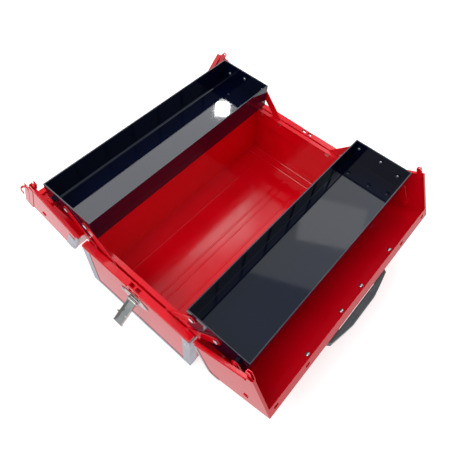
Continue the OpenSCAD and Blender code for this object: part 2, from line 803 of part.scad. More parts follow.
// A guard's rivet, on its wide leg
module lid_rivets(side) {
    z = lid_z0 + lid_guard_from + 2 * rivet_r;
    color(STEEL) opened(side) for (end = [NEAR, FAR]) at_end(end)
        if (side == end)
            rod_y(lid_w - lid_guard_w / 2, z, half_l + guard_t, half_l + guard_t + rivet_t, rivet_r);
        else
            translate([lid_w + guard_t, half_l - guard_wide / 2, z]) rotate([0, 90, 0])
                cylinder(r = rivet_r, h = rivet_t);
}

// ---- Handle ----

// Children are drawn on the roof at the pivot's place, with Z square to the roof
module on_roof(y) {
    translate([handle_pivot_x, y, pivot_roof_z]) rotate([0, roof_tilt, 0]) children();
}

module lug(y) {
    translate([handle_pivot_x, 0, handle_z]) rod_y(0, 0, y, y + lug_t, leg_r - over / 2);
    block([handle_pivot_x - leg_r + over, y, pivot_roof_z + over],
        [handle_pivot_x + leg_r - over, y + lug_t, handle_z]);
}

module handle_bracket(end) {
    middle = handle_span / 2;
    color(STEEL) opened(RIGHT) at_end(end) difference() {
        union() {
            on_roof(middle)
                block([-bracket_w / 2, -bracket_l / 2, 0], [bracket_w / 2, bracket_l / 2, bracket_t]);
            lug(middle - lug_y - lug_t);
            lug(middle + lug_y);
        }
        rod_y(handle_pivot_x, handle_z, middle - handle_leg_l, middle + handle_leg_l, handle_pin_r + pin_fit);
    }
}

module handle_screws() {
    color(STEEL) opened(RIGHT) for (end = [NEAR, FAR], step = [-screw_y, screw_y]) at_end(end)
        on_roof(handle_span / 2 + step) translate([screw_x - handle_pivot_x, 0, -sheet - screw_h])
            cylinder(r = screw_r, h = screw_h);
}

module handle_pins() {
    color(STEEL) opened(RIGHT) for (end = [NEAR, FAR]) at_end(end)
        rod_y(handle_pivot_x, handle_z, handle_span / 2 - lug_y - lug_t - over,
            handle_span / 2 + lug_y + lug_t + over, handle_pin_r);
}

// The bow, seen along X: two legs that stand on the pivots, and a grip between them
module handle_side() {
    inner = handle_span / 2 - handle_leg_l / 2;
    outer = handle_span / 2 + handle_leg_l / 2;
    under = handle_rise - handle_grip_h;
    shoulder = handle_rise - handle_fall;
    difference() {
        polygon([[-outer, -leg_r], [-outer, leg_r], [-outer + leg_r, shoulder], [-inner / 2, handle_rise],
            [inner / 2, handle_rise], [outer - leg_r, shoulder], [outer, leg_r], [outer, -leg_r]]);
        polygon([[-inner, -leg_r - over], [-inner, leg_r + clearance], [-inner + leg_r, under],
            [inner - leg_r, under], [inner, leg_r + clearance], [inner, -leg_r - over]]);
    }
}

module handle_section() {
    circle(r = leg_r);
    translate([0, handle_rise - leg_r]) circle(r = leg_r);
    translate([-leg_r, 0]) square([handle_t, handle_rise - leg_r]);
}

module handle_grip() {
    half = handle_span / 2 + handle_leg_l / 2 + over;
    color(BLACK) opened(RIGHT) translate([handle_pivot_x, 0, handle_z]) rotate([0, -handle_turn, 0])
    difference() {
        intersection() {
            translate([leg_r, 0, 0]) rotate([90, 0, -90]) linear_extrude(height = handle_t) handle_side();
            sweep_y(-half, half) handle_section();
        }
        rod_y(0, 0, -half, half, handle_pin_r + pin_fit);
    }
}

// ---- Latches ----

// The latch plate, seen along Y: pointed at both ends
module plate_outline() {
    shoulder = plate_half - plate_point;
    middle = (plate_z0 + plate_z1) / 2;
    polygon([[-plate_half, middle - plate_tip / 2], [-shoulder, plate_z0], [shoulder, plate_z0],
        [plate_half, middle - plate_tip / 2], [plate_half, middle + plate_tip / 2], [shoulder, plate_z1],
        [-shoulder, plate_z1], [-plate_half, middle + plate_tip / 2]]);
}

module latch_plate(end) {
    ear_x = lever_w / 2 + clearance;
    color(NICKEL) at_end(end) difference() {
        union() {
            sweep_y(half_l, half_l + plate_t) plate_outline();
            for (side = [RIGHT, LEFT]) at_side(side) {
                block([ear_x, half_l, latch_z - roll_r], [ear_x + lever_t, latch_y, latch_z + roll_r]);
                translate([ear_x, latch_y, latch_z]) rotate([0, 90, 0]) cylinder(r = roll_r, h = lever_t);
            }
        }
        translate([-plate_half, latch_y, latch_z]) rotate([0, 90, 0])
            cylinder(r = latch_pin_r + pin_fit, h = 2 * plate_half);
    }
}

module latch_pin(end) {
    half = lever_w / 2 + clearance + lever_t + over;
    color(STEEL) at_end(end) translate([-half, latch_y, latch_z]) rotate([0, 90, 0])
        cylinder(r = latch_pin_r, h = 2 * half);
}

// A cheek of the lever with its claw, in the closed lever's YZ plane, from the hinge
module cheek_outline() {
    claw_in = latch_out + sheet + tab_in + tab_t;
    cheek_back = -roll_r + clearance;
    intersection() {
        union() {
            translate([cheek_back, 0])
                square([2 * roll_r - lever_t - clearance / 2, lever_l - 2 * lever_t]);
            difference() {
                translate([-claw_in, 0]) square([claw_in, claw_r]);
                circle(r = claw_r - claw_t);
            }
        }
        union() {
            circle(r = claw_r);
            translate([cheek_back, 0]) square([2 * roll_r, lever_l]);
        }
    }
}

module lever_body() {
    half = lever_w / 2;
    difference() {
        union() {
            translate([-half, 0, 0]) rotate([0, 90, 0]) cylinder(r = roll_r, h = lever_w);
            block([-half, roll_r - lever_t, 0], [half, roll_r, lever_l]);
            block([-half, roll_r - lever_t, lever_l - lever_t], [half, roll_r + lever_t * 2, lever_l]);
            for (x = [-half, half - lever_t])
                translate([x, 0, 0]) rotate([90, 0, 90]) linear_extrude(height = lever_t) cheek_outline();
        }
        translate([-half - over, 0, 0]) rotate([0, 90, 0])
            cylinder(r = latch_pin_r + pin_fit, h = lever_w + 2 * over);
    }
}

module latch_lever(end) {
    color(NICKEL) at_end(end) translate([0, latch_y, latch_z]) rotate([-lever_turn, 0, 0]) lever_body();
}

base_shell();
link_rail(NEAR);  // link_rail_near
link_rail(FAR);  // link_rail_far
base_guard(0);  // base_guard_near_right
base_guard(1);  // base_guard_far_right
base_guard(2);  // base_guard_far_left
base_guard(3);  // base_guard_near_left
base_trim(NEAR);  // base_trim_near
base_trim(FAR);  // base_trim_far
base_rivets();
base_pivots();
hinge_base_leaf_right();
hinge_base_leaf_left();
hinge_pin(RIGHT);  // hinge_pin_right
hinge_pin(LEFT);  // hinge_pin_left
hinge_lid_leaf_right();
hinge_lid_leaf_left();
tray(RIGHT);  // tray_right
tray(LEFT);  // tray_left
tray_pivots(RIGHT);  // tray_pivots_right
tray_pivots(LEFT);  // tray_pivots_left
tray_link(0, RIGHT, NEAR);  // inner_link_near_right
tray_link(0, RIGHT, FAR);  // inner_link_far_right
tray_link(0, LEFT, NEAR);  // inner_link_near_left
tray_link(0, LEFT, FAR);  // inner_link_far_left
tray_link(1, RIGHT, NEAR);  // middle_link_near_right
tray_link(1, RIGHT, FAR);  // middle_link_far_right
tray_link(1, LEFT, NEAR);  // middle_link_near_left
tray_link(1, LEFT, FAR);  // middle_link_far_left
drive_link(RIGHT, NEAR);  // drive_link_near_right
drive_link(RIGHT, FAR);  // drive_link_far_right
drive_link(LEFT, NEAR);  // drive_link_near_left
drive_link(LEFT, FAR);  // drive_link_far_left
drive_pivots(RIGHT);  // drive_pivots_right
drive_pivots(LEFT);  // drive_pivots_left
drive_rivets(RIGHT);  // drive_rivets_right
drive_rivets(LEFT);  // drive_rivets_left
lid_right();
lid_left();
seam_lip();
catch_tabs(RIGHT);  // catch_tabs_right
catch_tabs(LEFT);  // catch_tabs_left
lid_guard(RIGHT, NEAR);  // lid_guard_near_right
lid_guard(RIGHT, FAR);  // lid_guard_far_right
lid_guard(LEFT, NEAR);  // lid_guard_near_left
lid_guard(LEFT, FAR);  // lid_guard_far_left
lid_rivets(RIGHT);  // lid_rivets_right
lid_rivets(LEFT);  // lid_rivets_left
handle_bracket(NEAR);  // handle_bracket_near
handle_bracket(FAR);  // handle_bracket_far
handle_screws();
handle_pins();
handle_grip();
latch_plate(NEAR);  // latch_plate_near
latch_plate(FAR);  // latch_plate_far
latch_pin(NEAR);  // latch_pin_near
latch_pin(FAR);  // latch_pin_far
latch_lever(NEAR);  // latch_lever_near
latch_lever(FAR);  // latch_lever_far
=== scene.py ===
"""The open cantilever tool box: enamelled sheet steel, two trays on links, corner guards, latches and a handle."""

import json
import math

import bmesh
import bpy
from mathutils import Matrix, Vector


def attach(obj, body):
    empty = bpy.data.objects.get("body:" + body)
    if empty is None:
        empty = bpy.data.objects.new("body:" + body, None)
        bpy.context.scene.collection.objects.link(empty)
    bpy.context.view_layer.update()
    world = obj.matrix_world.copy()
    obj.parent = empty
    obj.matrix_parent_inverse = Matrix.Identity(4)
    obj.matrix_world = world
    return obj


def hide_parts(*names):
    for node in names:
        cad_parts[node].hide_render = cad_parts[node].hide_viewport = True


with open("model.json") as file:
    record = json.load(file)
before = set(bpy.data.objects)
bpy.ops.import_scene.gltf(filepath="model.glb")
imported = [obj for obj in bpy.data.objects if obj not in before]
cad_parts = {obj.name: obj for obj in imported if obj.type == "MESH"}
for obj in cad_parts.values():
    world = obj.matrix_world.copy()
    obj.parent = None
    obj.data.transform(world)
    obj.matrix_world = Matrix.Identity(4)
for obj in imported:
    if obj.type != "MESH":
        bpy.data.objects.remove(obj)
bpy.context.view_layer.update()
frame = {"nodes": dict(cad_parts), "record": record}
bpy.context.scene.view_settings.view_transform = "Standard"

MM = 0.001
NEAR, FAR = -1, 1
RIGHT, LEFT = 1, -1
SIDES = {"right": RIGHT, "left": LEFT}
ENDS = {"near": NEAR, "far": FAR}

# Sizes of the box that its dressed pieces share, in millimetres
HALF_W = 120
HALF_L = 235
BASE_H = 120
HINGE_X = 122.8
HINGE_Z = 123.7
LID_TURN = {RIGHT: 153, LEFT: 156}
LID_W = 117
LID_Z0 = 120.4
SEAM_H = 93
WALL_H = 79
SHEET = 1

# How the pieces are finished: points closer than this are one, faces this flat to each other are joined, and
# edges sharper than this are rounded
MERGE_MM = 0.002
FLAT_DEGREES = 0.6
SHARP_DEGREES = 32
# How strongly a large face keeps its own shading next to a rounded edge, in percent
EVEN_WEIGHT = 60


# ---- Small tools ----

def linear(code):
    """An sRGB hex colour as linear red, green, blue and alpha."""
    values = [int(code[i:i + 2], 16) / 255 for i in (1, 3, 5)]
    return tuple(v / 12.92 if v <= 0.04045 else ((v + 0.055) / 1.055) ** 2.4 for v in values) + (1.0,)


def add(tree, kind, inputs=None, **settings):
    """Adds a node to a tree. An input's value is a number, a colour or the output socket that feeds it."""
    node = tree.nodes.new(kind)
    for name, value in settings.items():
        setattr(node, name, value)
    for name, value in (inputs or {}).items():
        socket = node.inputs[name]
        if isinstance(value, bpy.types.NodeSocket):
            tree.links.new(value, socket)
        else:
            socket.default_value = value
    return node


def lid_matrix(side):
    """Takes a point of the closed right lid to its place on the open lid of that side."""
    hinge = Matrix.Translation((HINGE_X * MM, 0, HINGE_Z * MM))
    turn = hinge @ Matrix.Rotation(math.radians(LID_TURN[side]), 4, "Y") @ hinge.inverted()
    return turn if side == RIGHT else Matrix.Scale(-1, 4, (1, 0, 0)) @ turn


def make_object(name, data):
    """An object at the origin for a mesh, a camera or a lamp."""
    piece = bpy.data.objects.new(name, data)
    bpy.context.scene.collection.objects.link(piece)
    return piece


def plain(piece):
    """Turns the piece's modifiers into a plain mesh."""
    bpy.context.view_layer.update()
    graph = bpy.context.evaluated_depsgraph_get()
    mesh = bpy.data.meshes.new_from_object(piece.evaluated_get(graph))
    piece.modifiers.clear()
    piece.data = mesh
    return piece


def soften(piece, width, segments=2):
    """Rounds the piece's sharp edges as a press or a mould leaves them."""
    bevel = piece.modifiers.new("rounded edges", "BEVEL")
    bevel.width = width * MM
    bevel.segments = segments
    bevel.limit_method = "ANGLE"
    bevel.angle_limit = math.radians(SHARP_DEGREES)
    bevel.use_clamp_overlap = True
    plain(piece)
    for polygon in piece.data.polygons:
        polygon.use_smooth = True
    shade = piece.modifiers.new("even faces", "WEIGHTED_NORMAL")
    shade.keep_sharp = True
    shade.weight = EVEN_WEIGHT
    plain(piece)


def hand_over(piece, body, slot, *nodes, material=None):
    """Gives a finished piece its material, its body and the nodes that it stands for."""
    piece.data.materials.clear()
    piece.data.materials.append(material or FINISH[slot])
    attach(piece, body)
    if nodes:
        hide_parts(*nodes)


def copy_of(node, name, join_flats=True):
    """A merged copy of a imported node's mesh, with its flat faces joined."""
    bm = bmesh.new()
    bm.from_mesh(frame["nodes"][node].data)
    bmesh.ops.remove_doubles(bm, verts=bm.verts, dist=MERGE_MM * MM)
    if join_flats:
        flat = math.radians(FLAT_DEGREES)
        bmesh.ops.dissolve_limit(bm, angle_limit=flat, verts=bm.verts, edges=bm.edges)
    mesh = bpy.data.meshes.new(name)
    bm.to_mesh(mesh)
    bm.free()
    return make_object(name, mesh)


# ---- Materials ----

# Noise runs mostly between these two values, which are spread over the range that is wanted
NOISE_LOW, NOISE_HIGH = 0.3, 0.7


def new_material(name):
    """A new material with its node tree, its shader and the Object coordinates that its patterns read."""
    material = bpy.data.materials.new(name)
    material.use_nodes = True
    tree = material.node_tree
    shader = tree.nodes["Principled BSDF"]
    place = add(tree, "ShaderNodeTexCoord").outputs["Object"]
    return material, tree, shader, place


def patches(tree, place, size_mm, low, high):
    """A number that wanders between low and high, in patches about that many millimetres across."""
    noise = add(tree, "ShaderNodeTexNoise", {"Vector": place, "Scale": 1 / (size_mm * MM), "Detail": 3.0})
    return add(tree, "ShaderNodeMapRange", {"Value": noise.outputs["Fac"], "From Min": NOISE_LOW,
                                            "From Max": NOISE_HIGH, "To Min": low, "To Max": high}).outputs["Result"]


def two_tones(tree, shader, place, size_mm, dark, light):
    """A colour that drifts between two tones, in patches about that many millimetres across."""
    drift = patches(tree, place, size_mm, 0.0, 1.0)
    colour = add(tree, "ShaderNodeMix", {"Factor": drift, "A": linear(dark), "B": linear(light)}, data_type="RGBA")
    tree.links.new(colour.outputs[2], shader.inputs["Base Color"])


# Enamel: patches of tone and of gloss, and the slow waves of the sheet under it, in millimetres
ENAMEL_TONE, ENAMEL_GLOSS, SHEET_WAVE = 60, 14, 85
ENAMEL_IOR = 1.5


def enamel(name, dark, light, gloss_low, gloss_high, peel_mm, peel, wave):
    """Stoved enamel: an even colour, a wet gloss, a fine orange peel and the slow waves of the sheet under it."""
    material, tree, shader, place = new_material(name)
    two_tones(tree, shader, place, ENAMEL_TONE, dark, light)
    tree.links.new(patches(tree, place, ENAMEL_GLOSS, gloss_low, gloss_high), shader.inputs["Roughness"])
    waves = add(tree, "ShaderNodeTexNoise", {"Vector": place, "Scale": 1 / (SHEET_WAVE * MM), "Detail": 1.0})
    slow = add(tree, "ShaderNodeBump", {"Height": waves.outputs["Fac"], "Strength": 1.0, "Distance": wave * MM})
    orange = add(tree, "ShaderNodeTexNoise", {"Vector": place, "Scale": 1 / (peel_mm * MM), "Detail": 1.0})
    fine = add(tree, "ShaderNodeBump", {"Height": orange.outputs["Fac"], "Strength": 1.0, "Distance": peel * MM,
                                        "Normal": slow.outputs["Normal"]})
    tree.links.new(fine.outputs["Normal"], shader.inputs["Normal"])
    shader.inputs["IOR"].default_value = ENAMEL_IOR
    return material


# Metal: patches of tone, in millimetres
METAL_TONE = 25


def metal(name, dark, light, rough_low, rough_high, grain_mm, grain, stretch=(1, 1, 1)):
    """Bare or plated metal: the light it mirrors is softened by its grain, and its tone varies a little."""
    material, tree, shader, place = new_material(name)
    run = add(tree, "ShaderNodeMapping", {"Vector": place, "Scale": stretch}).outputs["Vector"]
    streaks = add(tree, "ShaderNodeTexNoise", {"Vector": run, "Scale": 1 / (grain_mm * MM), "Detail": 4.0,
                                               "Roughness": 0.6}).outputs["Fac"]
    two_tones(tree, shader, place, METAL_TONE, dark, light)
    blur = add(tree, "ShaderNodeMapRange", {"Value": streaks, "From Min": NOISE_LOW, "From Max": NOISE_HIGH,
                                            "To Min": rough_low, "To Max": rough_high})
    tree.links.new(blur.outputs["Result"], shader.inputs["Roughness"])
    fine = add(tree, "ShaderNodeBump", {"Height": streaks, "Strength": 1.0, "Distance": grain * MM})
    tree.links.new(fine.outputs["Normal"], shader.inputs["Normal"])
    shader.inputs["Metallic"].default_value = 1.0
    return material


# Plastic: patches of tone and of gloss, then the size and the depth of its grain, in millimetres
PLASTIC_TONE, PLASTIC_GLOSS = 20, 3
PLASTIC_IOR = 1.49
# the real grain is about 0.2 mm, and it is drawn at 0.5 mm so that it shows
GRAIN, GRAIN_DEPTH = 0.5, 0.03


def moulded_plastic(name, dark, light, gloss_low, gloss_high):
    """Injection-moulded polypropylene: a spark-eroded grain that turns highlights into a soft grey sheen."""
    material, tree, shader, place = new_material(name)
    two_tones(tree, shader, place, PLASTIC_TONE, dark, light)
    tree.links.new(patches(tree, place, PLASTIC_GLOSS, gloss_low, gloss_high), shader.inputs["Roughness"])
    pits = add(tree, "ShaderNodeTexNoise", {"Vector": place, "Scale": 1 / (GRAIN * MM), "Detail": 2.0})
    grain = add(tree, "ShaderNodeBump", {"Height": pits.outputs["Fac"], "Strength": 1.0,
                                         "Distance": GRAIN_DEPTH * MM})
    tree.links.new(grain.outputs["Normal"], shader.inputs["Normal"])
    shader.inputs["IOR"].default_value = PLASTIC_IOR
    return material


# Red enamel stoved on pressed steel: wet gloss with a fine peel, pale where it mirrors white at a low angle
red_enamel = enamel("stoved_red_enamel", "#EE001A", "#F60420", 0.10, 0.17, 1.4, 0.004, 0.012)
# Blue-black enamel stoved on the trays: deeper gloss than the red, so the floors mirror the walls
black_enamel = enamel("stoved_blue_black_enamel", "#030A24", "#060D2A", 0.035, 0.07, 1.8, 0.002, 0.02)
# The same blue-black enamel drawn as a pale grey on the trays' rolled rims: a painted highlight, in place of the
# light that the rounded rim mirrors
rim_painted_highlight_enamel = enamel("thin_enamel_on_rolled_rim", "#4C4F53", "#5C5F63", 0.25, 0.35, 1.8, 0.002, 0.0)
# Zinc-coated steel, drawn and tumbled: a satin grey that blurs what it mirrors
guard_metal = metal("satin_zinc_coated_steel", "#A9ACB4", "#BBBEC6", 0.36, 0.48, 0.9, 0.006)
# Nickel plate on pressed steel: a warm grey mirror with hairlines
nickel_plate = metal("bright_nickel_plate", "#A8A5A0", "#C2BFB9", 0.13, 0.24, 0.5, 0.003, (1, 1, 6))
# Bright zinc on rivets, pins and screws: small hard glints
rivet_zinc = metal("bright_zinc_plate", "#D4D5D8", "#E6E7EA", 0.26, 0.38, 0.4, 0.004)


# Black polypropylene from a grained mould: a dull dark grey, drawn lighter than the plastic as a painted sheen for
# what its outer face mirrors, over the soft sheen of its grain
black_plastic = moulded_plastic("moulded_black_polypropylene", "#45484C", "#56595D", 0.34, 0.46)
FINISH = {"red_paint": red_enamel, "black_paint": black_enamel, "guard_steel": guard_metal,
          "nickel": nickel_plate, "rivet_steel": rivet_zinc, "black_plastic": black_plastic}
BODY_OF = {node: body for body, nodes in frame["record"]["behaviour"]["bodies"].items() for node in nodes}


# ---- Geometry Nodes ----

def new_tree(name, *sizes):
    """A tree with an input for each named size and for its material, and those inputs."""
    tree = bpy.data.node_groups.new(name, "GeometryNodeTree")
    tree.interface.new_socket("Geometry", in_out="INPUT", socket_type="NodeSocketGeometry")
    tree.interface.new_socket("Geometry", in_out="OUTPUT", socket_type="NodeSocketGeometry")
    for size in sizes:
        tree.interface.new_socket(size, in_out="INPUT", socket_type="NodeSocketFloat")
    tree.interface.new_socket("Material", in_out="INPUT", socket_type="NodeSocketMaterial")
    return tree, add(tree, "NodeGroupInput").outputs


def end_tree(tree, given, geometry):
    """Ends a tree: what was repeated becomes real geometry, in the given material."""
    real = add(tree, "GeometryNodeRealizeInstances", {"Geometry": geometry})
    painted = add(tree, "GeometryNodeSetMaterial", {"Geometry": real.outputs["Geometry"],
                                                    "Material": given["Material"]})
    add(tree, "NodeGroupOutput", {"Geometry": painted.outputs["Geometry"]})
    return tree


def run_tree(piece, tree, **sizes_mm):
    """Runs a tree on a piece with its named sizes, and keeps the result as a plain mesh."""
    modifier = piece.modifiers.new(tree.name, "NODES")
    modifier.node_group = tree
    names = {item.name.lower().replace(" ", "_"): item.identifier for item in tree.interface.items_tree
             if item.in_out == "INPUT"}
    for name, value in sizes_mm.items():
        modifier[names[name]] = value * MM if isinstance(value, (int, float)) else value
    return plain(piece)


def half_ball(tree, given, segments, rings):
    """A ball as wide as the head and as high, with its lower half pressed flat."""
    ball = add(tree, "GeometryNodeMeshUVSphere", {"Segments": segments, "Rings": rings, "Radius": 1.0})
    spot = add(tree, "ShaderNodeSeparateXYZ", {"Vector": add(tree, "GeometryNodeInputPosition").outputs[0]})
    up = add(tree, "ShaderNodeMath", {0: spot.outputs["Z"], 1: 0.0}, operation="MAXIMUM")
    tall = add(tree, "ShaderNodeMath", {0: up.outputs[0], 1: given["Head height"]}, operation="MULTIPLY")
    wide_x = add(tree, "ShaderNodeMath", {0: spot.outputs["X"], 1: given["Head radius"]}, operation="MULTIPLY")
    wide_y = add(tree, "ShaderNodeMath", {0: spot.outputs["Y"], 1: given["Head radius"]}, operation="MULTIPLY")
    shape = add(tree, "ShaderNodeCombineXYZ", {"X": wide_x.outputs[0], "Y": wide_y.outputs[0],
                                               "Z": tall.outputs[0]})
    return add(tree, "GeometryNodeSetPosition", {"Geometry": ball.outputs["Mesh"],
                                                 "Position": shape.outputs["Vector"]}).outputs["Geometry"]


def facing_turn(tree):
    """The turn that stands a head up along its point's facing."""
    facing = add(tree, "GeometryNodeInputNamedAttribute", {"Name": "facing"}, data_type="FLOAT_VECTOR")
    turn = add(tree, "FunctionNodeAlignRotationToVector", {"Vector": facing.outputs["Attribute"]}, axis="Z")
    return turn.outputs["Rotation"]


def end_with_heads(tree, given, head, turn):
    """Ends a tree with the head on every point, turned by that turn."""
    heads = add(tree, "GeometryNodeInstanceOnPoints", {"Points": given["Geometry"], "Instance": head,
                                                       "Rotation": turn})
    return end_tree(tree, given, heads.outputs["Instances"])


DOME_SEGMENTS, DOME_RINGS = 20, 12
PAN_SEGMENTS, PAN_RINGS = 24, 14
# A recess arm's length, in head radii
ARM_REACH = 1.1
# The screws are turned at random by up to this many radians, with a fixed seed
MOST_SPIN, SPIN_SEED = 1.5, 4
# Points on each rounded corner of a strip's section
CORNER_POINTS = 4


def domes_tree():
    """Rivet heads: a low dome on every point, turned to the point's facing."""
    tree, given = new_tree("rivet_heads", "Head radius", "Head height")
    dome = half_ball(tree, given, DOME_SEGMENTS, DOME_RINGS)
    smooth = add(tree, "GeometryNodeSetShadeSmooth", {"Geometry": dome})
    return end_with_heads(tree, given, smooth.outputs["Geometry"], facing_turn(tree))


def screws_tree():
    """Pan-head screws with a cross recess, on every point, turned to the point's facing."""
    tree, given = new_tree("cross_recess_screws", "Head radius", "Head height", "Recess width")
    pan = half_ball(tree, given, PAN_SEGMENTS, PAN_RINGS)
    arm = add(tree, "ShaderNodeMath", {0: given["Head radius"], 1: ARM_REACH}, operation="MULTIPLY").outputs[0]
    bars = add(tree, "GeometryNodeJoinGeometry")
    for along_x, along_y in ((arm, given["Recess width"]), (given["Recess width"], arm)):
        size = add(tree, "ShaderNodeCombineXYZ", {"X": along_x, "Y": along_y, "Z": given["Head height"]})
        bar = add(tree, "GeometryNodeMeshCube", {"Size": size.outputs["Vector"]})
        tree.links.new(bar.outputs["Mesh"], bars.inputs["Geometry"])
    lift = add(tree, "ShaderNodeCombineXYZ", {"Z": given["Head height"]})
    cutter = add(tree, "GeometryNodeTransform", {"Geometry": bars.outputs["Geometry"],
                                                 "Translation": lift.outputs["Vector"]})
    head = add(tree, "GeometryNodeMeshBoolean", {"Mesh 1": pan, "Mesh 2": cutter.outputs["Geometry"]},
               operation="DIFFERENCE")
    spin = add(tree, "FunctionNodeRandomValue", {"Min": 0.0, "Max": MOST_SPIN, "Seed": SPIN_SEED},
               data_type="FLOAT")
    own = add(tree, "FunctionNodeAxisAngleToRotation", {"Axis": (0, 0, 1), "Angle": spin.outputs[1]})
    both = add(tree, "FunctionNodeRotateRotation", {"Rotation": facing_turn(tree),
                                                    "Rotate By": own.outputs["Rotation"]}, rotation_space="LOCAL")
    return end_with_heads(tree, given, head.outputs["Mesh"], both.outputs["Rotation"])


def strip_tree():
    """A rounded strip along a line of edges: a hem, a bead or a rolled rim."""
    tree, given = new_tree("rounded_strip", "Width", "Height", "Rounding")
    line = add(tree, "GeometryNodeMeshToCurve", {"Mesh": given["Geometry"]})
    upright = add(tree, "GeometryNodeSetCurveNormal", {"Curve": line.outputs["Curve"]}, mode="Z_UP")
    section = add(tree, "GeometryNodeCurvePrimitiveQuadrilateral", {"Width": given["Width"],
                                                                    "Height": given["Height"]})
    rounded = add(tree, "GeometryNodeFilletCurve", {"Curve": section.outputs["Curve"],
                                                    "Radius": given["Rounding"], "Count": CORNER_POINTS},
                  mode="POLY")
    strip = add(tree, "GeometryNodeCurveToMesh", {"Curve": upright.outputs["Curve"],
                                                  "Profile Curve": rounded.outputs["Curve"], "Fill Caps": True})
    smooth = add(tree, "GeometryNodeSetShadeSmooth", {"Geometry": strip.outputs["Mesh"]})
    return end_tree(tree, given, smooth.outputs["Geometry"])


HEADS = domes_tree()
SCREWS = screws_tree()
STRIP = strip_tree()


def points_object(name, points):
    """Loose points in millimetres, each with the direction that it faces."""
    mesh = bpy.data.meshes.new(name)
    mesh.from_pydata([[c * MM for c in point] for point, _ in points], [], [])
    facing = mesh.attributes.new("facing", "FLOAT_VECTOR", "POINT")
    for index, (_, direction) in enumerate(points):
        facing.data[index].vector = Vector(direction).normalized()
    return make_object(name, mesh)


def heads_on(name, body, slot, points, radius, height):
    """Rivet heads on a body."""
    piece = points_object(name, points)
    run_tree(piece, HEADS, head_radius=radius, head_height=height, material=FINISH[slot])
    hand_over(piece, body, slot)


def strip_along(name, lines, width, height, rounding, matrix=None):
    """A rounded strip along lines of points in millimetres; a line is closed where it ends on its start."""
    mesh = bpy.data.meshes.new(name)
    points, edges = [], []
    for line in lines:
        start = len(points)
        closed = line[0] == line[-1]
        kept = line[:-1] if closed else line
        points += [[c * MM for c in point] for point in kept]
        edges += [(start + i, start + i + 1) for i in range(len(kept) - 1)]
        if closed:
            edges.append((start + len(kept) - 1, start))
    mesh.from_pydata(points, edges, [])
    strip = run_tree(make_object(name, mesh), STRIP, width=width, height=height, rounding=rounding)
    if matrix is not None:
        strip.data.transform(matrix)
        if matrix.determinant() < 0:
            strip.data.flip_normals()
    return strip


# ---- Pressed sheet pieces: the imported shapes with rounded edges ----

# Each kind of pressed piece: its slot and the radius of its rounded edges
PRESSED = {"base_shell": ("red_paint", 0.42), "link_rail": ("red_paint", 0.4), "tray": ("black_paint", 0.42),
           "lid": ("red_paint", 0.42), "seam_lip": ("red_paint", 0.42), "catch_tabs": ("red_paint", 0.5),
           "inner_link": ("red_paint", 0.7), "middle_link": ("red_paint", 0.7), "drive_link": ("red_paint", 0.7),
           "base_guard": ("guard_steel", 0.35), "base_trim": ("guard_steel", 0.35),
           "lid_guard": ("guard_steel", 0.35), "handle_bracket": ("rivet_steel", 0.5),
           "latch_plate": ("nickel", 0.5), "latch_lever": ("nickel", 0.55),
           "hinge_base_leaf": ("rivet_steel", 0.35), "hinge_lid_leaf": ("rivet_steel", 0.35)}
# Round pieces whose names begin like a tray's or a lid's, and which stay as they are packed
ROUND = ("tray_pivots", "lid_rivets")

TRAY_X0, TRAY_X1 = 101.8, 213.8
TRAY_END = 220
TRAY_RIM_Z, TRAY_FOOT_Z = 182.3, 132.3
# Radius of the tray's long fold as it is packed, and as it is drawn next to the middle
FOLD, SHARP_FOLD = 7, 2
# Points this far past the fold, or this far inside the sheet, still count as its own
PAST_FOLD, PAST_SHEET = 0.01, 0.05


def sharpen_fold(piece):
    """Draws in the tray's long fold next to the middle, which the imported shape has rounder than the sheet."""
    reach = FOLD + PAST_FOLD
    for vertex in piece.data.vertices:
        across = abs(vertex.co.x) / MM - TRAY_X0
        height = vertex.co.z / MM - TRAY_FOOT_Z
        if across < reach and height < reach:
            radius = math.hypot(FOLD - across, FOLD - height)
            if radius > FOLD - SHEET - PAST_SHEET:
                angle = math.atan2(FOLD - height, FOLD - across)
                radius -= FOLD - SHARP_FOLD
                x = TRAY_X0 + SHARP_FOLD - radius * math.cos(angle)
                vertex.co.x = math.copysign(x * MM, vertex.co.x)
                vertex.co.z = (TRAY_FOOT_Z + SHARP_FOLD - radius * math.sin(angle)) * MM


def kind_of(node):
    """The kind of pressed piece that a node is, from its name, or None."""
    kinds = [kind for kind in PRESSED if node == kind or node.startswith(kind + "_")]
    return max(kinds, key=len) if kinds else None


for node in sorted(frame["nodes"]):
    kind = kind_of(node)
    if kind is None or node.startswith(ROUND):
        continue
    slot, edge = PRESSED[kind]
    # joining the flats of the seam lip closes its bend with a wrong face
    piece = copy_of(node, node + "_pressed", join_flats=kind != "seam_lip")
    if kind == "tray":
        sharpen_fold(piece)
    soften(piece, edge)
    hand_over(piece, BODY_OF[node], slot, node)


# ---- Handle ----

GRIP_EDGE, GRIP_STEPS = 1.6, 3
grip = copy_of("handle_grip", "handle_grip_moulded")
soften(grip, GRIP_EDGE, GRIP_STEPS)
# the grip's light grey base colour is partly a painted sheen
hand_over(grip, "handle", "black_plastic", "handle_grip")


# ---- Rolled rims of the trays and beads under the rims of the base and the lids ----

HEM_W, HEM_H, HEM_ROUND = 2.4, 3.2, 1.15
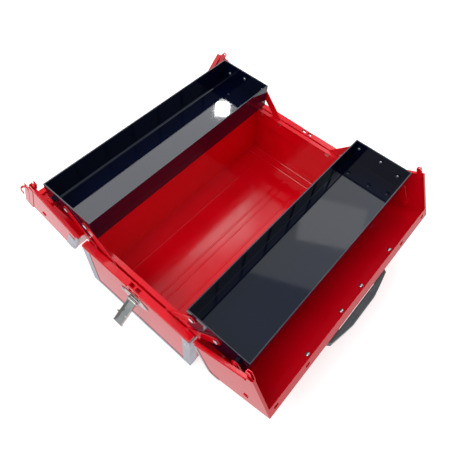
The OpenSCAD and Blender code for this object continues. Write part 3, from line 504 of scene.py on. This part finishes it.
# How far a rolled rim stands out past the sheet that it is rolled from
HEM_PROUD = 0.1
for side_name, side in SIDES.items():
    x0 = side * (TRAY_X0 + HEM_W / 2 - HEM_PROUD)
    x1 = side * (TRAY_X1 - HEM_W / 2 + HEM_PROUD)
    y1 = TRAY_END - HEM_W / 2 + HEM_PROUD
    z = TRAY_RIM_Z - HEM_H / 2 + HEM_PROUD
    round_tray = [(x0, -y1, z), (x1, -y1, z), (x1, y1, z), (x0, y1, z), (x0, -y1, z)]
    rim = strip_along(f"tray_{side_name}_rolled_rim", [round_tray], HEM_W, HEM_H, HEM_ROUND)
    # the rim's pale grey is a painted highlight
    hand_over(rim, f"tray_{side_name}", "black_paint", material=rim_painted_highlight_enamel)

BEAD_W, BEAD_H, BEAD_ROUND = 3.6, 6.6, 1.75
# Where a bead begins beside the seam, and how far it ends from the corner of the base and of a lid
BEAD_FREE_X, BASE_CORNER, LID_CORNER = 14.5, 1, 5
for end_name, end in ENDS.items():
    y = end * HALF_L
    z = BASE_H - BEAD_H / 2
    halves = [[(side * BEAD_FREE_X, y, z), (side * (HALF_W - BASE_CORNER), y, z)] for side in (LEFT, RIGHT)]
    bead = strip_along(f"base_bead_{end_name}", halves, BEAD_W, BEAD_H, BEAD_ROUND)
    hand_over(bead, "base", "red_paint")
for side_name, side in SIDES.items():
    z = LID_Z0 + BEAD_H / 2
    for end_name, end in ENDS.items():
        y = end * HALF_L
        bead = strip_along(f"lid_{side_name}_bead_{end_name}", [[(BEAD_FREE_X, y, z), (LID_W - LID_CORNER, y, z)]],
                           BEAD_W, BEAD_H, BEAD_ROUND, lid_matrix(side))
        hand_over(bead, f"lid_{side_name}", "red_paint")


# ---- Hooks on the seam lip ----

HOOK_X, HOOK_Z, HOOK_R = -5.3, 143, 4.2
HOOK_W, HOOK_H, HOOK_ROUND = 1.4, 9, 0.5
# The straight end past the bend, and the middle of the hook's strip outside the lid's end
HOOK_REACH, HOOK_OUT = 6, 1.4
BEND_STEP = 20
for end_name, end in ENDS.items():
    wall_y = HALF_L + HOOK_OUT
    line = [(HOOK_X + HOOK_R, end * wall_y, HOOK_Z)]
    for degrees in range(0, 181, BEND_STEP):
        bend = math.radians(degrees)
        line.append((HOOK_X - HOOK_R * math.sin(bend), end * (wall_y + HOOK_R * (1 - math.cos(bend))), HOOK_Z))
    line.append((HOOK_X + HOOK_REACH, end * (wall_y + 2 * HOOK_R), HOOK_Z))
    hook = strip_along(f"seam_lip_hook_{end_name}", [line], HOOK_W, HOOK_H, HOOK_ROUND, lid_matrix(LEFT))
    hand_over(hook, "lid_left", "red_paint")


# ---- Rivet heads and screws ----

# Radii of the heads inside the trays and of the others, and heights of the flat and of the full heads
INSIDE_R, PIVOT_R = 3.1, 4.3
DOME_THIN, DOME = 0.6, 1.5
# Middles of the pivots, as x and z: the links' ends on a tray and on the base, and the drive links' ends
LINK_UP, LINK_DOWN = ((112.5, 167.0), (158.0, 167.0)), ((58.81, 110.42), (104.31, 110.42))
DRIVE_LOW = (196.0, 159.0)
DRIVE_TOP = {RIGHT: (228.17, 105.90), LEFT: (227.09, 100.41)}
# Where the heads sit along y, and how far the lids' heads stand outside the lid's end
HEAD_IN_Y, HEAD_OUT_Y, DRIVE_OUT_Y = 217.8, 223.65, 227.65
LID_HEAD_OUT = 1.2
for side_name, side in SIDES.items():
    inside = [((side * x, end * HEAD_IN_Y, z), (0, -end, 0)) for end in (NEAR, FAR)
              for x, z in LINK_UP + (DRIVE_LOW,)]
    heads_on(f"tray_{side_name}_rivets_inside", f"tray_{side_name}", "rivet_steel", inside, INSIDE_R, DOME)
    outside = [((side * x, end * HEAD_OUT_Y, z), (0, end, 0)) for end in (NEAR, FAR) for x, z in LINK_UP]
    heads_on(f"tray_{side_name}_rivets_outside", f"tray_{side_name}", "rivet_steel", outside, PIVOT_R, DOME_THIN)
    low = [((side * DRIVE_LOW[0], end * DRIVE_OUT_Y, DRIVE_LOW[1]), (0, end, 0)) for end in (NEAR, FAR)]
    heads_on(f"drive_links_{side_name}_rivets", f"drive_links_{side_name}", "red_paint", low, PIVOT_R, DOME)
    x, z = DRIVE_TOP[side]
    top = [((side * x, end * (HALF_L + LID_HEAD_OUT), z), (0, end, 0)) for end in (NEAR, FAR)]
    heads_on(f"lid_{side_name}_rivets_outside", f"lid_{side_name}", "red_paint", top, PIVOT_R, DOME_THIN)
feet = [((side * x, end * y, z), (0, facing * end, 0)) for side in (RIGHT, LEFT) for end in (NEAR, FAR)
        for x, z in LINK_DOWN for y, facing in ((HEAD_OUT_Y, 1), (HEAD_IN_Y, -1))]
heads_on("base_pivot_heads", "base", "rivet_steel", feet, PIVOT_R, DOME_THIN)

SCREW_R, SCREW_H, RECESS_W = 4.0, 2.3, 1.1
HANDLE_X, SCREW_X, HANDLE_HALF_SPAN, SCREW_STEP = 17.5, 14.5, 77, 47
ROOF_FALL = (SEAM_H - WALL_H) / LID_W
down_roof = Matrix.Rotation(math.atan(ROOF_FALL), 3, "Y")
opened = lid_matrix(RIGHT)
screw_points = []
for middle in (-HANDLE_HALF_SPAN, HANDLE_HALF_SPAN):
    for step in (-SCREW_STEP, SCREW_STEP):
        spot = Vector((HANDLE_X, middle + step, LID_Z0 + SEAM_H - ROOF_FALL * HANDLE_X)) \
            + down_roof @ Vector((SCREW_X - HANDLE_X, 0, -SHEET))
        screw_points.append((opened @ (spot * MM) / MM, opened.to_3x3() @ down_roof @ Vector((0, 0, -1))))
screws = points_object("handle_screws_pan", screw_points)
run_tree(screws, SCREWS, head_radius=SCREW_R, head_height=SCREW_H, recess_width=RECESS_W, material=rivet_zinc)
hand_over(screws, "lid_right", "rivet_steel", "handle_screws")

# Packed pivots that are painted with the sheet beside them; the other imported pieces in sight are bare zinc
# the tray pivots' black is like the trays beside them, and is also painted shade in the dark gap between a tray's
# end and its links
PAINTED = {"tray_pivots": "black_paint", "drive_pivots": "red_paint", "drive_rivets": "red_paint"}
for node, obj in frame["nodes"].items():
    if not obj.hide_render:
        obj.data.materials.clear()
        obj.data.materials.append(FINISH[PAINTED.get(node.rsplit("_", 1)[0], "rivet_steel")])


# ---- Camera ----

EYE = Vector((274.2, -386.9, 763.5)) * MM
TARGET = Vector((49.2, -80.2, 182.3)) * MM
ROLL = math.radians(-5.79)
FOCAL_PIXELS = 451.55
IMAGE_PIXELS = 450
SENSOR_MM = 36
CLIP_START = 0.01

forward = (TARGET - EYE).normalized()
level = forward.cross(Vector((0, 0, 1))).normalized()
down = forward.cross(level)
across = math.cos(ROLL) * level + math.sin(ROLL) * down
downwards = -math.sin(ROLL) * level + math.cos(ROLL) * down
camera = make_object("camera", bpy.data.cameras.new("camera"))
camera.data.sensor_width = SENSOR_MM
camera.data.lens = SENSOR_MM * FOCAL_PIXELS / IMAGE_PIXELS
camera.data.clip_start = CLIP_START
axes = Matrix((across, -downwards, -forward)).transposed().to_4x4()
camera.matrix_world = Matrix.Translation(EYE) @ axes
bpy.context.scene.camera = camera


# ---- Floor, surroundings and lamps ----

# Strength and tint of the pale surroundings: as plain light, and as what glossy surfaces mirror
AMBIENT, MIRRORED = 0.44, 0.62
WHITE, COOL_MIRRORED = (1, 1, 1, 1), (0.88, 0.99, 1.08, 1)


def pale_surroundings():
    """The world: white to the eye, plain light on the box, and a cooler grey in what is mirrored."""
    world = bpy.data.worlds.new("studio")
    bpy.context.scene.world = world
    world.use_nodes = True
    tree = world.node_tree
    path = add(tree, "ShaderNodeLightPath").outputs
    mirrored = add(tree, "ShaderNodeMapRange", {"Value": path["Is Glossy Ray"], "To Min": AMBIENT,
                                                "To Max": MIRRORED})
    straight = add(tree, "ShaderNodeMath", {0: path["Is Camera Ray"], 1: path["Is Transmission Ray"]},
                   operation="MAXIMUM")
    strength = add(tree, "ShaderNodeMix", {"Factor": straight.outputs[0], "A": mirrored.outputs["Result"],
                                           "B": 1.0})
    cool = add(tree, "ShaderNodeMix", {"Factor": path["Is Glossy Ray"], "A": WHITE, "B": COOL_MIRRORED},
               data_type="RGBA")
    sky = tree.nodes["Background"].inputs
    tree.links.new(strength.outputs[0], sky["Strength"])
    tree.links.new(cool.outputs[2], sky["Color"])


FLOOR_SIZE = 6
# Strength of the glow that makes the paper white to the eye
PAPER_GLOW = 0.65


def matt_white_paper():
    """Plain paper: a dull white that keeps the box's shadow, and a greyer tone where it is mirrored."""
    material = bpy.data.materials.new("matt_white_paper")
    material.use_nodes = True
    tree = material.node_tree
    tree.nodes.remove(tree.nodes["Principled BSDF"])
    path = add(tree, "ShaderNodeLightPath").outputs
    tone = add(tree, "ShaderNodeMix", {"Factor": path["Is Glossy Ray"], "A": linear("#E6E6E6"),
                                       "B": linear("#B4B6BA")}, data_type="RGBA")
    paper = add(tree, "ShaderNodeBsdfDiffuse", {"Color": tone.outputs[2]})
    # it glows only to rays from the camera, from gloss and through glass, so it throws no light on the box
    first = add(tree, "ShaderNodeMath", {0: path["Is Camera Ray"], 1: path["Is Glossy Ray"]}, operation="MAXIMUM")
    seen = add(tree, "ShaderNodeMath", {0: first.outputs[0], 1: path["Is Transmission Ray"]}, operation="MAXIMUM")
    glow = add(tree, "ShaderNodeEmission", {"Color": WHITE, "Strength": PAPER_GLOW})
    no_glow = add(tree, "ShaderNodeEmission", {"Color": WHITE, "Strength": 0.0})
    shown = add(tree, "ShaderNodeMixShader", {"Fac": seen.outputs[0], 1: no_glow.outputs[0], 2: glow.outputs[0]})
    both = add(tree, "ShaderNodeAddShader", {0: paper.outputs[0], 1: shown.outputs[0]})
    tree.links.new(both.outputs[0], tree.nodes["Material Output"].inputs["Surface"])
    return material


pale_surroundings()
bm = bmesh.new()
bmesh.ops.create_grid(bm, x_segments=1, y_segments=1, size=FLOOR_SIZE)
floor_mesh = bpy.data.meshes.new("floor")
bm.to_mesh(floor_mesh)
bm.free()
floor = make_object("floor", floor_mesh)
floor.data.materials.append(matt_white_paper())


def lamp(name, place, aim, size, watts, turn=0):
    """A square lamp: its place, its aim and its size in metres, and its turn about its own axis in degrees."""
    light = bpy.data.lights.new(name, "AREA")
    light.shape = "SQUARE"
    light.size = size
    light.energy = watts
    holder = make_object(name, light)
    place, aim = Vector(place), Vector(aim)
    look = (aim - place).to_track_quat("-Z", "Y").to_matrix().to_4x4()
    holder.matrix_world = Matrix.Translation(place) @ look @ Matrix.Rotation(math.radians(turn), 4, "Z")


BOX_MIDDLE = (0, 0, 0.1)
# A wide window on the left, which the left tray's floor mirrors
lamp("window_left", place=(-1.6, 0.95, 1.85), aim=BOX_MIDDLE, size=1.65, watts=24)
# Two panels beyond the far end, which the right tray's floor mirrors as pale panes
lamp("panel_far", place=(-0.1, 2.0, 1.95), aim=BOX_MIDDLE, size=1.15, watts=5.0, turn=22)
lamp("panel_middle", place=(-0.2, 1.15, 1.9), aim=(-0.2, 0.8, 0.1), size=0.62, watts=0.8, turn=22)
# A panel beyond the near end, which lights the end wall and the latch
lamp("panel_near", place=(-0.3, -1.4, 2.0), aim=BOX_MIDDLE, size=1.2, watts=15)

# A small bright lamp stands where the left tray's floor mirrors it to the eye
GLINT = Vector((-155.7, 151.0, 133.3)) * MM
GLINT_DISTANCE = 1.6
away = (GLINT - EYE).normalized()
bounced = Vector((away.x, away.y, -away.z))
lamp("small_bright_lamp", place=GLINT + bounced * GLINT_DISTANCE, aim=GLINT, size=0.075, watts=0.9)
